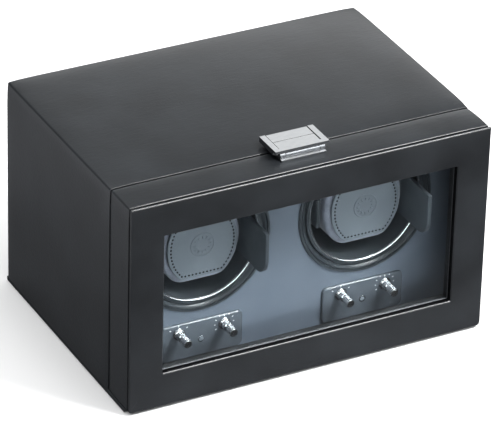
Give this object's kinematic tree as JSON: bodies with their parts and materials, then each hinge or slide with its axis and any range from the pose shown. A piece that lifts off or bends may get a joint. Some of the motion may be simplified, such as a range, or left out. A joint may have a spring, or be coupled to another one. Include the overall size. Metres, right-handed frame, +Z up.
{
  "type": "watch winder box",
  "caption": "Leather-covered watch winder box with winding drums on belt drives, watch cuffs, control knobs, a glazed drop-down front lid and a top latch.",
  "frame": {"origin": "centre of the footprint, on the surface that the box stands on", "axes": "+X to the right seen from the front, -Y out of the glazed front, +Z up"},
  "size_m": [0.3, 0.216, 0.183],
  "materials": {
    "black_leather": "fine grain, soft sheen",
    "wood_board": "raw fibreboard",
    "black_suede": "short nap",
    "base_cover": "fine grain",
    "fascia_cover": "smooth matt",
    "glass": "clear polished",
    "chrome": "polished",
    "brushed_metal": "fine brushed",
    "hinge_metal": "satin",
    "control_panel": "gloss",
    "drum_plastic": "satin",
    "bezel_plastic": "satin",
    "cushion_suede": "soft suede",
    "patch_leather": "smooth, stitched",
    "cuff_plastic": "satin",
    "steel": "ground",
    "bronze": "sintered",
    "belt_rubber": "matt",
    "black_plastic": "moulded",
    "board_green": "solder mask",
    "led_lens": "clear diffuse",
    "aluminium_bead": "satin"
  },
  "bodies": {
    "case": {"base_felt": "black_suede", "base_board": "base_cover", "left_board": "wood_board", "right_board": "wood_board", "top_board": "wood_board", "back_board": "wood_board", "case_leather": "black_leather", "floor_liner": "black_suede", "fascia": "fascia_cover", "drum_bezels": "bezel_plastic", "bulkhead": "wood_board", "left_control_plate": "control_panel", "right_control_plate": "control_panel", "led_lenses": "led_lens", "rotary_switches": "black_plastic", "circuit_board": "board_green", "dc_jack": "black_plastic", "hinge_base_leaf": "hinge_metal", "hinge_pin": "hinge_metal", "hinge_base_screws": "steel", "latch_keeper": "brushed_metal", "left_bush": "bronze", "right_bush": "bronze", "left_gearmotor": "steel", "right_gearmotor": "steel", "left_drive_belt": "belt_rubber", "right_drive_belt": "belt_rubber"},
    "lid": {"lid_frame": "wood_board", "lid_rim": "wood_board", "lid_leather": "black_leather", "lid_lining": "black_suede", "window_glass": "glass", "window_bead": "aluminium_bead", "glass_retainer": "black_plastic", "lid_hinge_leaf": "hinge_metal", "lid_hinge_screws": "steel", "latch_base": "brushed_metal", "latch_pin": "chrome"},
    "latch": {"latch_lever": "brushed_metal"},
    "left_drum": {"left_drum": "drum_plastic", "left_chrome_ring": "chrome", "left_cuff_frame": "cuff_plastic", "left_cuff_cushion": "cushion_suede", "left_cuff_patch": "patch_leather", "left_drum_shaft": "steel", "left_drum_pulley": "black_plastic"},
    "left_motor_pulley": {"left_motor_pulley": "black_plastic"},
    "left_direction_knob": {"left_direction_knob": "chrome"},
    "left_turns_knob": {"left_turns_knob": "chrome"},
    "right_drum": {"right_drum": "drum_plastic", "right_chrome_ring": "chrome", "right_cuff_frame": "cuff_plastic", "right_cuff_cushion": "cushion_suede", "right_cuff_patch": "patch_leather", "right_drum_shaft": "steel", "right_drum_pulley": "black_plastic"},
    "right_motor_pulley": {"right_motor_pulley": "black_plastic"},
    "right_direction_knob": {"right_direction_knob": "chrome"},
    "right_turns_knob": {"right_turns_knob": "chrome"}
  },
  "joints": [
    {"name": "lid_hinge", "type": "hinge", "parent": "case", "child": "lid", "pos_m": [0, -0.1047, 0.0045], "axis": [1, 0, 0], "range_deg": [0, 90]},
    {"name": "latch_hinge", "type": "hinge", "parent": "lid", "child": "latch", "pos_m": [0, -0.0866, 0.1786], "axis": [1, 0, 0], "range_deg": [0, 70]},
    {"name": "left_drum_spin", "type": "hinge", "parent": "case", "child": "left_drum", "pos_m": [-0.0685, 0, 0.104], "axis": [0, 1, 0], "continuous": true},
    {"name": "left_motor_spin", "type": "hinge", "parent": "case", "child": "left_motor_pulley", "pos_m": [-0.0685, 0.05, 0.03], "axis": [0, 1, 0], "continuous": true},
    {"name": "left_direction_turn", "type": "hinge", "parent": "case", "child": "left_direction_knob", "pos_m": [-0.0875, -0.07, 0.032], "axis": [0, 1, 0], "range_deg": [-60, 60]},
    {"name": "left_turns_turn", "type": "hinge", "parent": "case", "child": "left_turns_knob", "pos_m": [-0.0495, -0.07, 0.032], "axis": [0, 1, 0], "range_deg": [-120, 120]},
    {"name": "right_drum_spin", "type": "hinge", "parent": "case", "child": "right_drum", "pos_m": [0.0685, 0, 0.104], "axis": [0, 1, 0], "continuous": true},
    {"name": "right_motor_spin", "type": "hinge", "parent": "case", "child": "right_motor_pulley", "pos_m": [0.0685, 0.05, 0.03], "axis": [0, 1, 0], "continuous": true},
    {"name": "right_direction_turn", "type": "hinge", "parent": "case", "child": "right_direction_knob", "pos_m": [0.0495, -0.07, 0.032], "axis": [0, 1, 0], "range_deg": [-60, 60]},
    {"name": "right_turns_turn", "type": "hinge", "parent": "case", "child": "right_turns_knob", "pos_m": [0.0875, -0.07, 0.032], "axis": [0, 1, 0], "range_deg": [-120, 120]}
  ],
  "couplings": [
    {"joint": "left_motor_spin", "follows": "left_drum_spin", "ratio": 5},
    {"joint": "right_motor_spin", "follows": "right_drum_spin", "ratio": 5}
  ]
}
